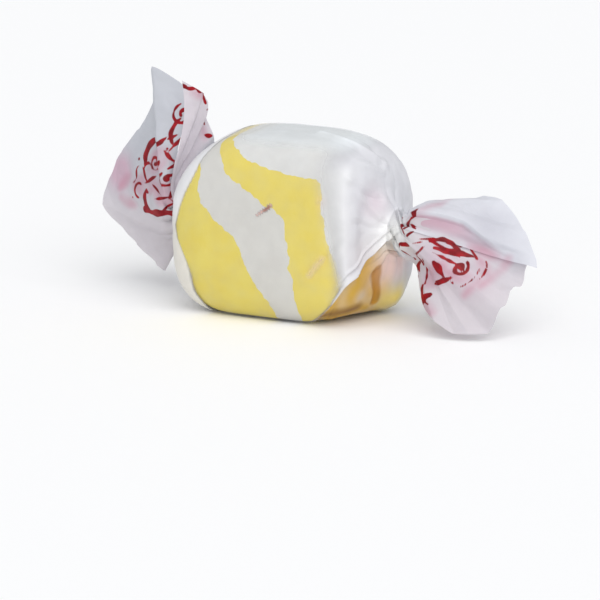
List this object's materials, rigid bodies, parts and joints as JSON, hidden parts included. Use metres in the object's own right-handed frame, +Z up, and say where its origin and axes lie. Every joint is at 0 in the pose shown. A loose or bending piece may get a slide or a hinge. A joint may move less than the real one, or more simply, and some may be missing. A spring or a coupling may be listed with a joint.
{
  "type": "taffy",
  "caption": "Short fat disc of striped yellow and white chewy sweet, rolled in thin wax paper that is twisted at each side and opens into crumpled fans.",
  "frame": {"origin": "middle of the small flat spot of the rim that the wrapped disc stands on", "axes": "+X from one twisted end to the other, -Y out of the front cut face of the disc, +Z up"},
  "size_m": [0.069, 0.0195, 0.0322],
  "materials": {
    "wrapper": "waxed, satin, slightly see-through",
    "taffy_yellow_side": "chewy yellow sugar sweet, satin",
    "taffy_white_middle": "chewy white sugar sweet, satin",
    "taffy_yellow_middle": "chewy yellow sugar sweet, satin",
    "taffy_white_side": "chewy white sugar sweet, satin"
  },
  "bodies": {
    "root": {"wrapper": "wrapper", "taffy_yellow_side": "taffy_yellow_side", "taffy_white_middle": "taffy_white_middle", "taffy_yellow_middle": "taffy_yellow_middle", "taffy_white_side": "taffy_white_side"}
  },
  "joints": []
}
